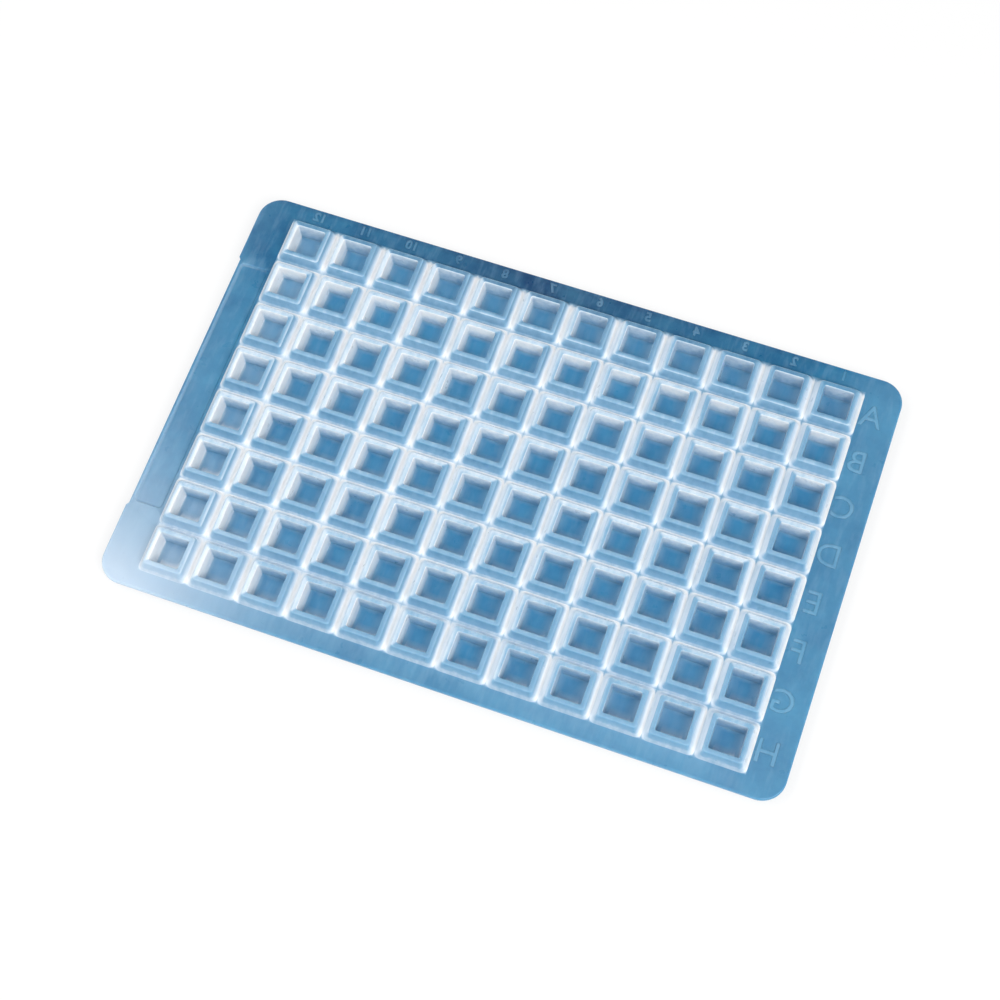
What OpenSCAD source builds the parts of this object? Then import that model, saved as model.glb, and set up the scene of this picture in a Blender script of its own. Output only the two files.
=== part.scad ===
// Moulded 96-well plate: a thin flanged sheet that carries a grid of square wells.
// One piece. +Z is up, the wells open upward, and the origin is the middle of the
// footprint, level with the undersides of the wells, which the plate stands on.
// All lengths are in millimetres.

/* [Grid] */
// Distance from one well centre to the next, both ways
pitch = 9; // [8.9:0.1:9.6]
// Wells along the long side
columns = 12; // [6:1:12]
// Wells along the short side
rows = 8; // [7:1:8]

/* [Sheet] */
// Thickness of the sheet that joins the wells
sheet_t = 1.1; // [0.8:0.1:1.6]
// Sheet beyond the grid at each short end
end_margin = 6.6; // [5:0.1:12]
// Sheet beyond the grid along each long side
side_margin = 3.2; // [2:0.1:9]
// Radius of the four corners
corner_r = 4.2; // [1:0.1:7]

/* [Wells] */
// Height from a well's floor to its rim
well_depth = 3.9; // [3.2:0.1:6]
// Thickness of a well's floor
floor_t = 0.8; // [0.5:0.1:1.2]
// Square opening at the rim
opening_w = 5.3; // [4.4:0.1:5.6]
// Square floor, a little smaller for draft
floor_w = 5.1; // [4:0.1:5.3]
// Wall round the well below the sheet
cup_wall = 0.8; // [0.5:0.1:1.2]
// Draft on the outside of the well below the sheet, over its full width
cup_draft = 0.3; // [0:0.1:0.6]

/* [Collars] */
// Height of a rim above the sheet
rim_rise = 1.8; // [1:0.1:2.2]
// Flat top of the rim
rim_w = 0.8; // [0.4:0.1:1]
// Gap between neighbouring collars at the sheet
collar_gap = 0.5; // [0.3:0.1:0.9]
// Corner taken off each collar at the sheet, along each side
collar_chamfer = 0.8; // [0.3:0.1:1.2]

/* [Grip] */
// Length of the set-in grip on the left end
grip_len = 50.2; // [20:0.2:60]
// How far the outer edge sets in along the grip
grip_set_in = 0.35; // [0.1:0.05:0.8]
// Lip left outside the sunk panel
grip_lip = 0.5; // [0.4:0.1:1.5]
// Sheet left between the sunk panel and the collars
grip_land = 0.5; // [0.4:0.1:2]
// Depth of the sunk panel
grip_depth = 0.35; // [0.1:0.05:0.6]
// Radius of the sunk panel's corners
grip_corner_r = 0.8; // [0.2:0.1:1.5]

/* [Hidden] */
$fn = 48;

grid_len = columns * pitch;
grid_wid = rows * pitch;
plate_len = grid_len + 2 * end_margin;
plate_wid = grid_wid + 2 * side_margin;

rim_z = floor_t + well_depth;
sheet_top = rim_z - rim_rise;
sheet_bottom = sheet_top - sheet_t;

rim_outer_w = opening_w + 2 * rim_w;
collar_foot_w = pitch - collar_gap;
cup_foot_w = floor_w + 2 * cup_wall;
cup_top_w = cup_foot_w + cup_draft;

// A cut runs this far past the face that it opens
cut_over = 1;

grip_left = -plate_len / 2 + grip_set_in + grip_lip;
grip_right = -grid_len / 2 + collar_gap / 2 - grip_land;

function column_x(i) = (i - (columns - 1) / 2) * pitch;
function row_y(j) = (j - (rows - 1) / 2) * pitch;
// Width of a tapered square at height z, from its widths at its foot and at height h
function taper_w(foot_w, top_w, h, z) = foot_w + (top_w - foot_w) * z / h;

// Rectangle with round corners, from its low corner
module round_rect(size, r) {
    translate([r, 0]) square([size.x - 2 * r, size.y]);
    translate([0, r]) square([size.x, size.y - 2 * r]);
    for (x = [r, size.x - r], y = [r, size.y - r])
        translate([x, y]) circle(r = r);
}

// Bar along Y that stands on z = 0 and tapers from its foot to its top
module taper_bar(foot_w, top_w, h, len) {
    rotate([90, 0, 0])
        linear_extrude(height = len, center = true)
            polygon([[-foot_w / 2, 0], [foot_w / 2, 0], [top_w / 2, h], [-top_w / 2, h]]);
}

// Tapered square blocks, one on each grid place: what crossed bars have in common
module grid_blocks(foot_w, top_w, h) {
    intersection() {
        union() {
            for (i = [0:columns - 1])
                translate([column_x(i), 0, 0])
                    taper_bar(foot_w, top_w, h, grid_wid);
        }
        union() {
            for (j = [0:rows - 1])
                translate([0, row_y(j), 0])
                    rotate([0, 0, 90])
                        taper_bar(foot_w, top_w, h, grid_len);
        }
    }
}

// Flange and web in one sheet, with its left edge set in along the grip
module sheet() {
    translate([0, 0, sheet_bottom])
        linear_extrude(height = sheet_t)
            difference() {
                translate([-plate_len / 2, -plate_wid / 2])
                    round_rect([plate_len, plate_wid], corner_r);
                translate([-plate_len / 2 - cut_over, -grip_len / 2])
                    square([cut_over + grip_set_in, grip_len]);
            }
}

// Sloped collars that stand on the sheet, with their foot corners taken off
module collars() {
    translate([0, 0, sheet_top])
        difference() {
            grid_blocks(collar_foot_w, rim_outer_w, rim_rise);
            crossing_cuts();
        }
}

// Upright diamonds on the grid's crossings, which chamfer the collars' foot corners
module crossing_cuts() {
    half_diagonal = collar_gap + collar_chamfer;
    for (i = [0:columns], j = [0:rows])
        translate([column_x(i) - pitch / 2, row_y(j) - pitch / 2, -cut_over])
            rotate([0, 0, 45])
                linear_extrude(height = rim_rise + 2 * cut_over)
                    square(half_diagonal * sqrt(2), center = true);
}

// The wells' outsides, from the surface that the plate stands on up into the sheet
module cups() {
    grid_blocks(cup_foot_w, cup_top_w, sheet_top);
}

// The wells' insides, from their floors up past their rims
module well_cuts() {
    cut_h = well_depth + cut_over;
    translate([0, 0, floor_t])
        grid_blocks(floor_w, taper_w(floor_w, opening_w, well_depth, cut_h), cut_h);
}

// The sunk panel of the grip
module grip_cut() {
    translate([grip_left, -grip_len / 2 + grip_lip, sheet_top - grip_depth])
        linear_extrude(height = grip_depth + cut_over)
            round_rect([grip_right - grip_left, grip_len - 2 * grip_lip], grip_corner_r);
}

module well_plate() {
    color("lightsteelblue")
        difference() {
            union() {
                sheet();
                collars();
                cups();
            }
            well_cuts();
            grip_cut();
        }
}

well_plate();
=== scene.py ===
"""Looks of the moulded 96-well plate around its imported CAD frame. All lengths are in metres."""

import math

import bmesh
import bpy
from mathutils import Matrix, Vector


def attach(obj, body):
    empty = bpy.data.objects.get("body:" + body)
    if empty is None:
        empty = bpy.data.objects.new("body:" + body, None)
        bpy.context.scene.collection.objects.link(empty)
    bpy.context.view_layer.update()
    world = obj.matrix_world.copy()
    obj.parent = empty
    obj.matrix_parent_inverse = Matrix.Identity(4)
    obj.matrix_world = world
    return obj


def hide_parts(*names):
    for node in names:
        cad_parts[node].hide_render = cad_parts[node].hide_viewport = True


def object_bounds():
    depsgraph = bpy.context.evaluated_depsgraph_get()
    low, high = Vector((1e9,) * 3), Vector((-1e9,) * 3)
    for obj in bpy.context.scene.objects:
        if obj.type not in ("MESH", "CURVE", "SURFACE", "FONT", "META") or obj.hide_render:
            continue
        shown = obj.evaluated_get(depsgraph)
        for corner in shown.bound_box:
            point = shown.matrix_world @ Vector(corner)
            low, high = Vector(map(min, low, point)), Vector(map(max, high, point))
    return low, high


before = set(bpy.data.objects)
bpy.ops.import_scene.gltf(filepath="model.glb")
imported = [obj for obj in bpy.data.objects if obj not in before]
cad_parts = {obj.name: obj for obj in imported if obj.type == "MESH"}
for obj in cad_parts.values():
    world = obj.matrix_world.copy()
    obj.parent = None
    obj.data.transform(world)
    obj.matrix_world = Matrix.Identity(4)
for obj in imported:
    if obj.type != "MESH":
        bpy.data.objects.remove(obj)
cad_low, cad_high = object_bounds()

MM = 0.001

# Points this near to each other are one, and heights this near to each other are level
TOUCHING = 0.001 * MM

# The grid of wells
PITCH = 9 * MM
COLUMNS = 12
ROWS = 8

# Heights above the surface that the wells stand on
RIM_Z = cad_high.z
FLOOR_Z = 0.8 * MM
SHEET_TOP = RIM_Z - 1.8 * MM
SHEET_BOTTOM = SHEET_TOP - 1.1 * MM

# Half-widths of a well: of its opening, floor, rim, collar and cup
OPENING = 2.65 * MM
FLOOR = 2.55 * MM
RIM_OUTER = 3.45 * MM
COLLAR_FOOT = 4.25 * MM
CUP_TOP = 3.5 * MM
CUP_FOOT = 3.35 * MM

# Half-widths on a well's floor: of its fine grid, and of the clear middle that the light from
# the left wall, and that from the other walls, doesn't reach
FLOOR_MIDDLE = 1.75 * MM
LEFT_CLEAR = 1.05 * MM
CLEAR = 0.35 * MM

# Where a grid square's corners start along its sides
CORNER_REACH = 3.35 * MM

# The outline of the sheet
HALF_LEN = cad_high.x
HALF_WID = cad_high.y
CORNER_R = 4.2 * MM
EDGE_R = 0.3 * MM

# The grip on the left end
GRIP_HALF = 25.1 * MM
GRIP_SET_IN = 0.35 * MM
GRIP_RAMP = 0.5 * MM
PANEL_LIP = 0.5 * MM
PANEL_LAND = 0.5 * MM
PANEL_DEPTH = 0.35 * MM
PANEL_SLOPE = 0.3 * MM
PANEL_EDGE = 0.08 * MM
PANEL_EDGE_DROP = 0.03 * MM
PANEL_FADE = 0.25 * MM
PANEL_R = 0.8 * MM

# Steps round a quarter turn: of a well's rings, of the sheet's corners and of its edges
WELL_STEPS = 6
CORNER_STEPS = 12
EDGE_STEPS = 4

# Cells along the fine grid on a well's floor, whose border has as many points as a ring
FLOOR_CELLS = WELL_STEPS + 1

# Raised marks on the sheet
MARK_HEIGHT = 0.1 * MM
LETTER_SIZE = 5.9 * MM
NUMBER_SIZE = 2.4 * MM
LETTER_OFFSET = -0.07 * MM
LETTER_SHIFT = -1.2 * MM

# How frosted the marks, the cups and the sheet's underside are, and the painted light on the
# sheet beside the near row of wells and the painted highlight on the sunk panel's upper edge and
# slope
MARK_FROST = 0.10
CUP_FROST = 0.4
UNDERSIDE_FROST = 0.2
NEAR_BORDER_PAINTED_LIGHT = 0.14
PANEL_LIP_HIGHLIGHT = 0.22
PANEL_SIDE_HIGHLIGHT = 0.42

# The near border's painted light stops this far from the grid's corners
NEAR_BORDER_END = 1.2 * MM

# Linear colours of the clear body, from the darkest to the palest of its painted reflection, and
# in the wells
DARK_BLUE = (0.0, 0.04, 0.138)
MID_BLUE = (0.0, 0.12, 0.268)
PALE_BLUE = (0.092, 0.253, 0.42)
WELL_BLUE = (0.043, 0.246, 0.45)

# Linear colours of the frosted plastic and of the painted light caught in it, and of the painted
# glare over the left near corner
HALF_LIT_FROST = (0.262, 0.445, 0.605)
LIT_FROST = (0.935, 0.955, 0.98)
GLARE_COLOUR = (0.56, 0.67, 0.78)

# The most that cloudy spots add to the clear body
CLOUD = (0.035, 0.105, 0.125)

# Where the sheet's painted reflection is darkest and palest, where the painted glare lies, and
# how far each of them reaches
DARK_SPOT = (-4.5 * MM, HALF_WID, SHEET_TOP)
DARK_REACH = 40 * MM
PALE_SPOT = (36 * MM, -HALF_WID, SHEET_TOP)
PALE_REACH = 31 * MM
GLARE_SPOT = (-HALF_LEN + 2 * MM, -HALF_WID - 6 * MM, SHEET_TOP)
GLARE_CORE = 8 * MM
GLARE_REACH = 42 * MM

# Where along its length the sheet's painted reflection turns pale to the right, how far in from
# its far edge its painted shade starts, and how far in from its left edge the painted glare
# starts
PALE_END_FROM = 43 * MM
PALE_END_TO = 56 * MM
DARK_EDGE_FROM = 1.2 * MM
DARK_EDGE_TO = 0.4 * MM
LEFT_GLARE = 6 * MM

# How fine the plastic's cloudy spots, flow streaks, uneven gloss and grain are, and the depth
# of the grain
CLOUD_SCALE = 130
STREAK_SCALE = 900
GLOSS_SCALE = 400
GRAIN_SCALE = 700
GRAIN_DEPTH = 0.05 * MM

# The camera: what it looks at, from where, and how long its lens is. Angles are in degrees, and
# the lens alone is in millimetres.
CAMERA_TARGET = Vector((0.3 * MM, -3.9 * MM, SHEET_TOP))
CAMERA_AZIMUTH = 23.9
CAMERA_ELEVATION = 68.4
CAMERA_ROLL = -4.57
CAMERA_DISTANCE = 322.9 * MM
CAMERA_LENS = 67.7

# The light from all round, and each lamp's name, place, width, length and watts
WORLD_STRENGTH = 0.54
SOFTBOXES = [
    ("glare", (-0.20, 0.06, 0.40), 0.12, 0.10, 0.20),
    ("key", (0.36, -0.255, 0.473), 0.32, 0.32, 2.45),
    ("fill", (-0.30, -0.20, 0.50), 0.32, 0.32, 1.05),
]

# Half the stage floor's width, and how much of what the camera sees of it is plain white
STAGE_HALF = 3.0
FLOOR_GLOW_SHARE = 0.75


def add_object(name, data):
    made = bpy.data.objects.new(name, data)
    bpy.context.scene.collection.objects.link(made)
    return made


# ---------------------------------------------------------------- the plate's mesh

def ramp(value, low, high):
    """How far a value lies from low to high, from 0 to 1."""
    return min(max((value - low) / (high - low), 0.0), 1.0)


# Rings of a well from its collar's foot, over its rim and down to the edge of its floor, each
# with its half-width, corner radius and height. Three make the collar's foot, one lies low on
# its slope and one at the slope's top, three span the rim's flat land, two round the opening
# and lead into the wall, and the last four are the wall's middle, its base, the fillet and
# the floor's edge.
WELL_PROFILE = [
    (COLLAR_FOOT + 0.18 * MM, 1.05 * MM, SHEET_TOP),
    (COLLAR_FOOT + 0.06 * MM, 1.00 * MM, SHEET_TOP + 0.04 * MM),
    (COLLAR_FOOT - 0.05 * MM, 0.95 * MM, SHEET_TOP + 0.16 * MM),
    (COLLAR_FOOT - 0.17 * MM, 0.89 * MM, SHEET_TOP + 0.40 * MM),
    (RIM_OUTER + 0.10 * MM, 0.60 * MM, RIM_Z - 0.20 * MM),
    (RIM_OUTER, 0.52 * MM, RIM_Z - 0.06 * MM),
    (RIM_OUTER - 0.10 * MM, 0.44 * MM, RIM_Z),
    (OPENING + 0.12 * MM, 0.42 * MM, RIM_Z),
    (OPENING + 0.02 * MM, 0.34 * MM, RIM_Z - 0.05 * MM),
    (OPENING - 0.01 * MM, 0.32 * MM, RIM_Z - 0.20 * MM),
    ((OPENING + FLOOR) / 2, 0.31 * MM, (RIM_Z + FLOOR_Z) / 2),
    (FLOOR + 0.01 * MM, 0.30 * MM, FLOOR_Z + 0.25 * MM),
    (FLOOR - 0.05 * MM, 0.26 * MM, FLOOR_Z + 0.06 * MM),
    (FLOOR - 0.22 * MM, 0.20 * MM, FLOOR_Z),
]


# The next four functions say how frosted a well's sides are at each ring of the profile: nine
# values from the collar's foot to the opening, and five inside it. Most of these values are
# painted
# light: the light caught in the translucent walls, and painted shade on the sides that face away
# from the lamps, so each side has its own values. The light that shows in the walls fades towards
# the right and near ends of the plate, and the far row's outer collars stay clear.

def right_side(i):
    east = i / (COLUMNS - 1)
    middle_to_left = ramp(i, 7, 3)
    foot = 1.0
    slope = 0.95 - 0.12 * middle_to_left
    top = max(0.31, 0.13 + 0.65 * east ** 2)
    land = 0.60 if i == 0 else 0.28 + 0.28 * east + 0.12 * middle_to_left
    inner_land = 0.34 if i == 0 else 0.25
    edge = 0.42 if i == 0 else 0.36
    inside = [0.70, 0.70, 0.65, 0.50, 0.45]
    return [foot, foot, foot, slope, top, land, land, inner_land, edge] + inside


def far_side(j):
    north = ramp(j, 3, 6)
    south = ramp(j, 3, 0)
    if j == ROWS - 1:
        foot, top, rim, land = 0.0, 0.50, 0.26, 0.17
        edge, wall, middle, base = 0.85, 0.76, 0.646, 0.50
    else:
        foot = 0.78 if j == 0 else 1.0
        top = 0.76 - 0.06 * south
        rim = 0.80 - 0.10 * north - 0.25 * south
        land = 0.64 - 0.14 * south
        edge = 0.88 - 0.30 * ramp(j, 6, 0)
        wall = 1.0 - 0.25 * ramp(j, 6, 0)
        middle = wall * (0.75 + 0.20 * north)
        base = 0.40 + 0.25 * north
    inside = [wall, middle, base, 0.8 * base, 0.5 * base]
    return [foot, foot, foot, foot, top, top, rim, land, edge] + inside


def left_side(i):
    west = 1 - i / (COLUMNS - 1)
    foot = 0.82 if i == 0 else 1.0 - 0.22 * ramp(i, 4, 11)
    rim = 0.60 if i == 0 else 0.44 + 0.28 * ramp(west, 0.05, 0.36)
    land = 0.30 + 0.60 * west ** 1.2
    wall = 0.48 + 0.52 * ramp(west, 0.0, 0.6)
    base = 1.0 if i == 0 else 0.42 + 0.45 * west ** 0.8
    slope = 0.95 * foot
    top = 0.76
    inside = [wall, wall, base, 0.9 * base, 0.6 * base]
    return [foot, foot, foot, slope, top, rim, rim, land, wall] + inside


def near_side(j):
    if j == ROWS - 1:
        foot, slope, edge = 0.52, 0.30, 0.24
    elif j == 0:
        foot, slope, edge = 0.62, 0.62, 0.35
    else:
        foot, slope, edge = 0.62, 0.41, 0.48 - 0.06 * ramp(j, 3, 6)
    top = 0.24 if j == 0 else 0.20 + 0.25 * ramp(j, 4, 7)
    rim = 0.28 if j == 0 else 0.25 + 0.42 * ramp(j, 4, 7)
    land = 0.42 + 0.10 * ramp(j, 4, 6)
    inside = [0.70, 0.70, 0.65, 0.50, 0.35]
    return [foot, foot, foot, slope, top, rim, land, edge, edge] + inside


def well_rings(i, j):
    """A well's rings, each with its half-width, corner radius, height and its sides' painted
    light.
    """
    frosts = zip(right_side(i), far_side(j), left_side(i), near_side(j))
    return [(*ring, sides) for ring, sides in zip(WELL_PROFILE, frosts)]


def floor_grid(i, j):
    """Rows of points over the middle of a well's floor, from its near side, with their painted
    light.

    The painted light rises towards the right, left and near sides, where the walls' light falls.
    """
    level = 0.11 if j == ROWS - 1 else 0.0
    right_most = 0.22
    if i == 0:
        level, right_most = 0.27, 0.31
    left_most = 0.12
    near_most = 0.0 if j == ROWS - 1 else 0.32 + 0.30 * ramp(j, 6, 3)
    places = [(2 * k / FLOOR_CELLS - 1) * FLOOR_MIDDLE for k in range(FLOOR_CELLS + 1)]
    rows = []
    for y in places:
        near = near_most * ramp(-y, CLEAR, FLOOR_MIDDLE)
        row = []
        for x in places:
            right = right_most * ramp(x, CLEAR, FLOOR_MIDDLE) ** 1.5
            left = left_most * ramp(-x, LEFT_CLEAR, FLOOR_MIDDLE)
            frost_and_painted_light = level + 1 - (1 - right) * (1 - left) * (1 - near)
            row.append((Vector((x, y, FLOOR_Z)), frost_and_painted_light))
        rows.append(row)
    return rows


def cup_rings():
    """Rings of a well's outside from the sheet down to its foot."""
    pale = (CUP_FROST,) * 4
    return [
        (CUP_TOP + 0.20 * MM, 0.80 * MM, SHEET_BOTTOM, pale),
        (CUP_TOP + 0.02 * MM, 0.66 * MM, SHEET_BOTTOM - 0.16 * MM, pale),
        (CUP_FOOT + 0.02 * MM, 0.60 * MM, 0.20 * MM, pale),
        (CUP_FOOT - 0.06 * MM, 0.55 * MM, 0.05 * MM, pale),
        (CUP_FOOT - 0.22 * MM, 0.40 * MM, 0.0, pale),
    ]


def around(angle, sides):
    """Value at an angle, blended between those of the right, far, left and near sides."""
    right, far, left, near = sides
    across = right if math.cos(angle) > 0 else left
    along = far if math.sin(angle) > 0 else near
    return across * math.cos(angle) ** 2 + along * math.sin(angle) ** 2


def square_ring(half, radius, z, sides):
    """Points round a square with round corners, counter-clockwise, each with its frosting and
    painted light.
    """
    loop = []
    for quarter in range(4):
        turn = Matrix.Rotation(quarter * math.pi / 2, 3, "Z")
        for step in range(WELL_STEPS + 1):
            angle = step / WELL_STEPS * math.pi / 2
            x = half - radius + radius * math.cos(angle)
            y = half - radius + radius * math.sin(angle)
            frost_and_painted_light = around(angle + quarter * math.pi / 2, sides)
            loop.append((turn @ Vector((x, y, z)), frost_and_painted_light))
    return loop


def tile_ring(z, columns_gap, rows_gap, crossing):
    """Points round a whole grid square, as many as a well's ring has, each with its frosting and
    painted light.

    The values are given for the gaps between columns, for those between rows, and for their
    crossings, which are clearer spots drawn out along the columns. On the top they are painted
    light.
    """
    half = PITCH / 2
    loop = []
    for quarter in range(4):
        turn = Matrix.Rotation(quarter * math.pi / 2, 3, "Z")
        for step in range(WELL_STEPS + 1):
            share = step / WELL_STEPS * 2 - 1
            fall = half - (half - CORNER_REACH) * abs(share)
            x, y = (half, fall) if share < 0 else (fall, half)
            between_columns = (share < 0) == (quarter % 2 == 0)
            gap = columns_gap if between_columns else rows_gap
            reach = abs(share) ** (1.4 if between_columns else 0.5)
            loop.append((turn @ Vector((x, y, z)), crossing + (gap - crossing) * reach))
    return loop


class Build:
    """A mesh in the making, with a value of frosting and painted light at each vertex."""

    def __init__(self):
        self.mesh = bmesh.new()
        self.frost_and_painted_light = self.mesh.verts.layers.float.new("frost_and_painted_light")

    def loop(self, points, shift=Vector()):
        """Vertices at points that each come with their frosting and painted light."""
        made = []
        for point, frost_and_painted_light in points:
            vertex = self.mesh.verts.new(point + shift)
            vertex[self.frost_and_painted_light] = frost_and_painted_light
            made.append(vertex)
        return made

    def bridge(self, outer, inner):
        """Quads between two loops that run counter-clockwise, facing up."""
        following = zip(outer[1:] + outer[:1], inner[1:] + inner[:1])
        for (a, b), (c, d) in zip(zip(outer, inner), following):
            self.mesh.faces.new((a, c, d, b))

    def nest(self, loops):
        """Bridges each loop to the next one."""
        for outer, inner in zip(loops, loops[1:]):
            self.bridge(outer, inner)

    def close(self, loop):
        self.mesh.faces.new(loop)

    def grid(self, rows):
        """Quads between rows of vertices, facing up. Gives their border, in step with a ring's.

        The border runs counter-clockwise, and it starts on the right side where a ring starts.
        """
        for lower, upper in zip(rows, rows[1:]):
            for k in range(FLOOR_CELLS):
                self.mesh.faces.new((lower[k], lower[k + 1], upper[k + 1], upper[k]))
        right = [row[-1] for row in rows]
        left = [row[0] for row in reversed(rows)]
        border = right[:-1] + rows[-1][:0:-1] + left[:-1] + rows[0][:-1]
        start = FLOOR_CELLS - WELL_STEPS // 2
        return border[start:] + border[:start]

    def loop_edges(self, loop):
        pairs = zip(loop, loop[1:] + loop[:1])
        return [self.mesh.edges.get(pair) or self.mesh.edges.new(pair) for pair in pairs]

    def open_edges(self, z):
        """The open edges at height z."""
        return [
            edge for edge in self.mesh.edges
            if len(edge.link_faces) == 1 and all(abs(v.co.z - z) < TOUCHING for v in edge.verts)
        ]

    def fill(self, edges):
        """Flat faces between the outer one of several loops and the others."""
        bmesh.ops.triangle_fill(self.mesh, edges=edges, use_beauty=True)


def add_well(build, i, j):
    """One grid square: the web, the collar, the well inside it and the cup below it."""
    shift = Vector((column_x(i), row_y(j), 0))
    # Painted light in the gaps: brighter between columns to the left and between rows in the
    # middle, with clearer crossings
    columns_gap = 1.0 - 0.20 * ramp(i, 3, 10)
    middle_row = (ROWS - 1) / 2
    rows_gap = 0.84 - 0.26 * abs(j - middle_row) / middle_row
    crossing = columns_gap - 0.26 - 0.28 * i / (COLUMNS - 1)
    top = [build.loop(tile_ring(SHEET_TOP, columns_gap, rows_gap, crossing), shift)]
    top += [build.loop(square_ring(*ring), shift) for ring in well_rings(i, j)]
    top.append(build.grid([build.loop(row, shift) for row in floor_grid(i, j)]))
    build.nest(top)
    underside = (UNDERSIDE_FROST,) * 3
    below = [build.loop(tile_ring(SHEET_BOTTOM, *underside), shift)]
    below += [build.loop(square_ring(*ring), shift) for ring in cup_rings()]
    build.nest(below)
    build.close(below[-1])


def column_x(i):
    return (i - (COLUMNS - 1) / 2) * PITCH


def row_y(j):
    return (j - (ROWS - 1) / 2) * PITCH


def arc(x, y, radius, start):
    """Points of a quarter circle about x, y, counter-clockwise from the angle start."""
    angles = [start + k / CORNER_STEPS * math.pi / 2 for k in range(CORNER_STEPS + 1)]
    return [(x + radius * math.cos(a), y + radius * math.sin(a)) for a in angles]


def sheet_outline(inset):
    """The sheet's outline, moved in by inset, counter-clockwise from its right side."""
    x, y, r = HALF_LEN - inset, HALF_WID - inset, CORNER_R - inset
    set_in = -x + GRIP_SET_IN
    points = arc(x - r, y - r, r, 0)
    points += arc(-x + r, y - r, r, math.pi / 2)
    points += [(-x, GRIP_HALF + GRIP_RAMP), (set_in, GRIP_HALF)]
    points += [(set_in, -GRIP_HALF), (-x, -GRIP_HALF - GRIP_RAMP)]
    points += arc(-x + r, -y + r, r, math.pi)
    points += arc(x - r, -y + r, r, -math.pi / 2)
    return points


def panel_outline(inset):
    """Outline of the grip's sunk panel, moved in by inset."""
    left = -HALF_LEN + GRIP_SET_IN + PANEL_LIP + inset
    right = column_x(0) - COLLAR_FOOT - PANEL_LAND - inset
    top = GRIP_HALF - PANEL_LIP - inset
    r = PANEL_R - inset / 2
    points = arc(right - r, top - r, r, 0)
    points += arc(left + r, top - r, r, math.pi / 2)
    points += arc(left + r, -top + r, r, math.pi)
    points += arc(right - r, -top + r, r, -math.pi / 2)
    return points


def clear_ring(points, z):
    """Points at height z, with no frosting or painted light."""
    return [(Vector((x, y, z)), 0.0) for x, y in points]


def panel_ring(inset, z, frost_and_painted_light):
    """Ring of the sunk panel with its painted highlight, which fades to the right, and a little
    to the far end.
    """
    points = panel_outline(inset)
    left = min(x for x, y in points)
    right = max(x for x, y in points)
    ring = []
    for x, y in points:
        across = 1 - 0.92 * ramp(x, left, right)
        along = 1 - 0.35 * ramp(y, -GRIP_HALF, GRIP_HALF)
        ring.append((Vector((x, y, z)), frost_and_painted_light * (across * along)))
    return ring


def add_panel(build):
    """The grip's sunk panel. Gives the loop at its upper edge."""
    sunk_z = SHEET_TOP - PANEL_DEPTH
    # The painted highlight lies on the panel's upper edge and slope, and fades out on its floor
    rings = [
        panel_ring(0, SHEET_TOP, PANEL_LIP_HIGHLIGHT),
        panel_ring(PANEL_EDGE, SHEET_TOP - PANEL_EDGE_DROP, PANEL_SIDE_HIGHLIGHT),
        panel_ring(PANEL_SLOPE, sunk_z, PANEL_SIDE_HIGHLIGHT),
        panel_ring(PANEL_SLOPE + PANEL_FADE, sunk_z, 0.0),
    ]
    loops = [build.loop(ring) for ring in rings]
    build.nest(loops)
    build.close(loops[-1])
    return loops[0]


def set_border_painted_light(build, border):
    """Leaves the sheet clear round the grid, but for a little painted light along its near side.
    """
    for vertex in {v for edge in border for v in edge.verts}:
        along_near_side = vertex.co.y < TOUCHING - ROWS * PITCH / 2
        at_corner = abs(vertex.co.x) > COLUMNS * PITCH / 2 - NEAR_BORDER_END
        frosted = along_near_side and not at_corner
        vertex[build.frost_and_painted_light] = NEAR_BORDER_PAINTED_LIGHT if frosted else 0.0


def edge_levels():
    """Heights down the sheet's rounded outer edge, each with how far in the edge lies there."""
    turns = [k / EDGE_STEPS * math.pi / 2 for k in range(EDGE_STEPS + 1)]
    rounded = [(EDGE_R * (1 - math.cos(t)), EDGE_R * (1 - math.sin(t))) for t in turns]
    upper = [(SHEET_TOP - down, inset) for down, inset in rounded]
    lower = [(SHEET_BOTTOM + up, inset) for inset, up in rounded]
    return upper + lower


def add_sheet(build):
    """The sheet round the grid, with rounded edges and the grip's sunk panel."""
    border_top = build.open_edges(SHEET_TOP)
    set_border_painted_light(build, border_top)
    border_bottom = build.open_edges(SHEET_BOTTOM)
    rim = [build.loop(clear_ring(sheet_outline(inset), z)) for z, inset in edge_levels()]
    build.nest(rim)
    lip = add_panel(build)
    build.fill(border_top + build.loop_edges(rim[0]) + build.loop_edges(lip))
    build.fill(border_bottom + build.loop_edges(rim[-1]))


def make_plate():
    build = Build()
    for i in range(COLUMNS):
        for j in range(ROWS):
            add_well(build, i, j)
    bmesh.ops.remove_doubles(build.mesh, verts=build.mesh.verts, dist=TOUCHING)
    add_sheet(build)
    bmesh.ops.recalc_face_normals(build.mesh, faces=build.mesh.faces)
    data = bpy.data.meshes.new("plate_moulding")
    build.mesh.to_mesh(data)
    build.mesh.free()
    data.shade_smooth()
    plate = add_object("plate_moulding", data)
    plate.modifiers.new("Flat faces stay flat", "WEIGHTED_NORMAL").weight = 60
    return plate


# ---------------------------------------------------------------- raised marks

def mark_mesh(text, size, offset, x, y):
    """A raised mark, mirrored as it is when read from the plate's other face."""
    curve = bpy.data.curves.new("mark", "FONT")
    curve.body = text
    curve.size = size
    curve.align_x = "CENTER"
    curve.align_y = "CENTER"
    curve.bevel_depth = MARK_HEIGHT
    curve.bevel_resolution = 1
    curve.offset = offset
    curve.resolution_u = 3
    holder = add_object("mark", curve)
    bpy.context.view_layer.update()
    evaluated = holder.evaluated_get(bpy.context.evaluated_depsgraph_get())
    data = bpy.data.meshes.new_from_object(evaluated)
    data.transform(Matrix.Translation((x, y, SHEET_TOP)) @ Matrix.Scale(-1, 4, (1, 0, 0)))
    data.flip_normals()
    bpy.data.objects.remove(holder)
    bpy.data.curves.remove(curve)
    return data


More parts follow.
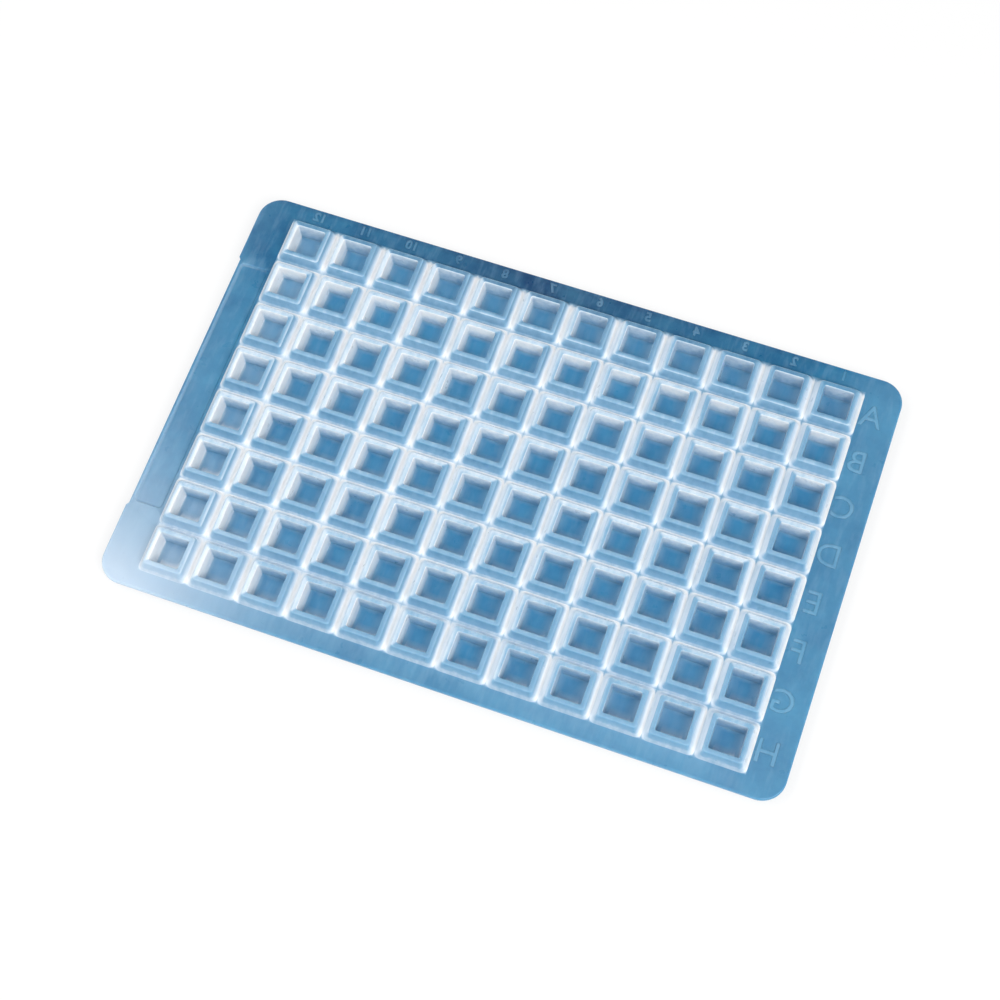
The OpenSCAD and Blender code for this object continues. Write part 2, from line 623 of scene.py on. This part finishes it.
def make_marks(name, marks):
    """One object of several marks, each a text, a size, an offset of its outline and a place."""
    joined = bmesh.new()
    for mark in marks:
        data = mark_mesh(*mark)
        joined.from_mesh(data)
        bpy.data.meshes.remove(data)
    data = bpy.data.meshes.new(name)
    joined.to_mesh(data)
    joined.free()
    data.shade_smooth()
    frost_and_painted_light = data.attributes.new("frost_and_painted_light", "FLOAT", "POINT")
    frost_and_painted_light.data.foreach_set("value", [MARK_FROST] * len(data.vertices))
    return add_object(name, data)


def row_letters():
    x = (COLUMNS * PITCH / 2 + HALF_LEN) / 2 + LETTER_SHIFT
    letters = "ABCDEFGH"
    return [(letters[ROWS - 1 - j], LETTER_SIZE, LETTER_OFFSET, x, row_y(j)) for j in range(ROWS)]


def column_numbers():
    y = (ROWS * PITCH / 2 + HALF_WID) / 2
    return [(str(COLUMNS - i), NUMBER_SIZE, 0.0, column_x(i), y) for i in range(COLUMNS)]


# ---------------------------------------------------------------- material

class Nodes:
    """Short calls for building one node tree."""

    def __init__(self, name):
        self.material = bpy.data.materials.new(name)
        self.material.use_nodes = True
        self.tree = self.material.node_tree
        self.shader = self.tree.nodes["Principled BSDF"]

    def node(self, kind, inputs=None, **settings):
        """A node with its settings, and with values or links on its inputs."""
        made = self.tree.nodes.new(kind)
        for key, value in settings.items():
            setattr(made, key, value)
        for key, value in (inputs or {}).items():
            if isinstance(value, bpy.types.NodeSocket):
                self.tree.links.new(value, made.inputs[key])
            else:
                made.inputs[key].default_value = value
        return made

    def noise(self, where, scale, detail=3.0, roughness=0.55):
        made = self.node(
            "ShaderNodeTexNoise",
            {"Vector": where, "Scale": scale, "Detail": detail, "Roughness": roughness},
        )
        return made.outputs["Fac"]

    def spread(self, value, low, high, to_low=0.0, to_high=1.0):
        """The range from low to high mapped onto another, and held at its ends."""
        made = self.node(
            "ShaderNodeMapRange",
            {0: value, 1: low, 2: high, 3: to_low, 4: to_high},
        )
        return made.outputs[0]

    def math(self, operation, a, b):
        return self.node("ShaderNodeMath", {0: a, 1: b}, operation=operation).outputs[0]

    def mix(self, share, a, b):
        """A colour between two others."""
        first, second = (c if isinstance(c, bpy.types.NodeSocket) else (*c, 1) for c in (a, b))
        made = self.node("ShaderNodeMix", {0: share, 6: first, 7: second}, data_type="RGBA")
        return made.outputs[2]

    def blend(self, share, a, b):
        """A number between two others."""
        made = self.node("ShaderNodeMix", {0: share, 2: a, 3: b}, data_type="FLOAT")
        return made.outputs[0]

    def distance(self, where, spot):
        made = self.node("ShaderNodeVectorMath", {0: where, 1: spot}, operation="DISTANCE")
        return made.outputs["Value"]

    def link(self, value, key):
        """Leads a value into the shader."""
        self.tree.links.new(value, self.shader.inputs[key])


def sheet_colour_and_reflection(n, where, axes):
    """Clear sheet, painted reflection: dark at far side, pale to right and near side; painted
    shade on far edge.
    """
    # Painted reflection: darker far away and round the dark spot, paler to the right, near and
    # round the pale spot
    level = n.spread(axes["Y"], HALF_WID, -HALF_WID, 0.30, 0.85)
    level = n.blend(n.spread(axes["X"], PALE_END_FROM, PALE_END_TO), level, 0.80)
    dark = n.spread(n.distance(where, DARK_SPOT), 0.0, DARK_REACH, -0.30, 0.0)
    inner, outer = HALF_WID - DARK_EDGE_FROM, HALF_WID - DARK_EDGE_TO
    edge = n.spread(axes["Y"], inner, outer, 0.0, -0.10)
    pale = n.spread(n.distance(where, PALE_SPOT), 0.0, PALE_REACH, 0.35, 0.0)
    level = n.math("ADD", n.math("ADD", level, dark), n.math("ADD", edge, pale))
    darker = n.mix(n.spread(level, 0.0, 0.4), DARK_BLUE, MID_BLUE)
    return n.mix(n.spread(level, 0.4, 1.0), darker, PALE_BLUE)


def clear_colour(n, where, axes):
    """The clear body with cloudy spots: the sheet's colour with its painted reflection above and
    the wells' below.
    """
    height = n.spread(axes["Z"], FLOOR_Z, SHEET_TOP)
    clear = n.mix(height, WELL_BLUE, sheet_colour_and_reflection(n, where, axes))
    blotches = n.spread(n.noise(where, CLOUD_SCALE, 6, 0.65), 0.27, 0.73)
    cloud = n.mix(blotches, (0.0, 0.0, 0.0), CLOUD)
    return n.node("ShaderNodeVectorMath", {0: clear, 1: cloud}, operation="ADD").outputs[0]


def painted_glare_share(n, where, axes):
    """How much painted glare lies over the body at the left end, and painted reflection in the
    wells by the pale spot.
    """
    painted_glare = n.spread(n.distance(where, GLARE_SPOT), GLARE_REACH, GLARE_CORE)
    painted_glare = n.math("MULTIPLY", painted_glare, painted_glare)
    painted_glare = n.math("MULTIPLY", painted_glare, n.spread(axes["Z"], FLOOR_Z, SHEET_TOP, 0.55, 0.86))
    left_edge = n.spread(axes["X"], -HALF_LEN + LEFT_GLARE, -HALF_LEN, 0.0, 0.07)
    reflection_veil = n.spread(n.distance(where, PALE_SPOT), 0.0, PALE_REACH, 0.14, 0.0)
    reflection_veil = n.math("MULTIPLY", reflection_veil, n.spread(axes["Z"], FLOOR_Z, SHEET_TOP, 1.0, 0.0))
    return n.math("ADD", n.math("ADD", painted_glare, left_edge), reflection_veil)


def streaked_frost_and_painted_light(n, where):
    """The mesh's frosting and painted light, with faint flow streaks along the plate's short
    side.
    """
    frost_and_painted_light = n.node("ShaderNodeAttribute", attribute_name="frost_and_painted_light").outputs["Fac"]
    along = n.node("ShaderNodeMapping", {0: where, 3: (1.0, 0.25, 1.0)}).outputs[0]
    streaks = n.spread(n.noise(along, STREAK_SCALE), 0.3, 0.7, -0.06, 0.08)
    return n.math("ADD", frost_and_painted_light, streaks)


def moulded_plastic(name, subsurface):
    """Blue plastic, clear or frosted as the mesh says, whitened by painted light, with fine grain
    and a soft gloss.
    """
    n = Nodes(name)
    where = n.node("ShaderNodeTexCoord").outputs["Object"]
    axes = n.node("ShaderNodeSeparateXYZ", {0: where}).outputs

    frost_and_painted_light = streaked_frost_and_painted_light(n, where)
    body = n.mix(n.spread(frost_and_painted_light, 0.0, 0.5), clear_colour(n, where, axes), HALF_LIT_FROST)
    glared = n.mix(painted_glare_share(n, where, axes), body, GLARE_COLOUR)
    n.link(n.mix(n.spread(frost_and_painted_light, 0.5, 1.0), glared, LIT_FROST), "Base Color")

    n.link(n.spread(n.noise(where, GLOSS_SCALE), 0.2, 0.8, 0.24, 0.40), "Roughness")
    grain = n.noise(where, GRAIN_SCALE, 4)
    relief = {"Strength": 0.25, "Distance": GRAIN_DEPTH, "Height": grain}
    bump = n.node("ShaderNodeBump", relief)
    n.link(bump.outputs[0], "Normal")
    n.shader.inputs["Subsurface Weight"].default_value = subsurface
    n.shader.inputs["Subsurface Radius"].default_value = (0.9, 0.9, 0.9)
    n.shader.inputs["Subsurface Scale"].default_value = 1.0 * MM
    n.shader.inputs["IOR"].default_value = 1.42
    return n.material


# ---------------------------------------------------------------- stage

def white_floor():
    """Pale floor that reads white to the camera and still takes the plate's shadow."""
    n = Nodes("pale_floor")
    n.shader.inputs["Base Color"].default_value = (0.9, 0.9, 0.9, 1)
    n.shader.inputs["Roughness"].default_value = 0.9
    seen = n.node("ShaderNodeLightPath").outputs
    glow = n.node("ShaderNodeEmission", {"Color": (1, 1, 1, 1), "Strength": 1.0})
    direct = n.math("MAXIMUM", seen["Is Camera Ray"], seen["Is Glossy Ray"])
    share = n.math("MULTIPLY", direct, FLOOR_GLOW_SHARE)
    mixed = n.node("ShaderNodeMixShader", {0: share, 1: n.shader.outputs[0], 2: glow.outputs[0]})
    output = n.tree.nodes["Material Output"]
    n.tree.links.new(mixed.outputs[0], output.inputs["Surface"])
    return n.material


def make_floor():
    mesh = bmesh.new()
    signs = [(-1, -1), (1, -1), (1, 1), (-1, 1)]
    corners = [(x * STAGE_HALF, y * STAGE_HALF, 0) for x, y in signs]
    mesh.faces.new([mesh.verts.new(corner) for corner in corners])
    data = bpy.data.meshes.new("floor")
    mesh.to_mesh(data)
    mesh.free()
    data.materials.append(white_floor())
    add_object("floor", data)


def set_world(strength):
    world = bpy.data.worlds.new("studio")
    world.use_nodes = True
    nodes, links = world.node_tree.nodes, world.node_tree.links
    lit = nodes["Background"]
    lit.inputs["Color"].default_value = (1, 1, 1, 1)
    lit.inputs["Strength"].default_value = strength
    seen = nodes.new("ShaderNodeBackground")
    seen.inputs["Color"].default_value = (1, 1, 1, 1)
    path = nodes.new("ShaderNodeLightPath")
    mixed = nodes.new("ShaderNodeMixShader")
    links.new(path.outputs["Is Camera Ray"], mixed.inputs[0])
    links.new(lit.outputs[0], mixed.inputs[1])
    links.new(seen.outputs[0], mixed.inputs[2])
    links.new(mixed.outputs[0], nodes["World Output"].inputs["Surface"])
    bpy.context.scene.world = world


def add_softbox(name, place, width, length, watts):
    """Area lamp that faces the plate."""
    data = bpy.data.lights.new(name, "AREA")
    data.shape = "RECTANGLE"
    data.size = width
    data.size_y = length
    data.energy = watts
    lamp = add_object(name, data)
    lamp.location = place
    lamp.rotation_euler = (-Vector(place)).to_track_quat("-Z", "Y").to_euler()


def add_lights():
    set_world(WORLD_STRENGTH)
    for softbox in SOFTBOXES:
        add_softbox(*softbox)


def add_camera():
    azimuth, elevation = math.radians(CAMERA_AZIMUTH), math.radians(CAMERA_ELEVATION)
    level = math.cos(elevation)
    back = Vector((math.sin(azimuth) * level, -math.cos(azimuth) * level, math.sin(elevation)))
    data = bpy.data.cameras.new("camera")
    data.lens = CAMERA_LENS
    data.clip_start = 0.01
    camera = add_object("camera", data)
    roll = Matrix.Rotation(math.radians(CAMERA_ROLL), 4, "Z")
    aim = (-back).to_track_quat("-Z", "Y").to_matrix().to_4x4()
    camera.matrix_world = Matrix.Translation(CAMERA_TARGET + back * CAMERA_DISTANCE) @ aim @ roll
    bpy.context.scene.camera = camera


def dress(piece, material):
    """Gives a piece its material and its body."""
    piece.data.materials.append(material)
    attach(piece, "root")


add_camera()
add_lights()
make_floor()
plastic = moulded_plastic("moulded_plastic", 1.0)
mark_plastic = moulded_plastic("mark_plastic", 0.0)
moulding = make_plate()
dress(moulding, plastic)
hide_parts("well_plate")
dress(make_marks("row_letters", row_letters()), mark_plastic)
dress(make_marks("column_numbers", column_numbers()), mark_plastic)
bpy.context.scene.view_settings.view_transform = "Standard"
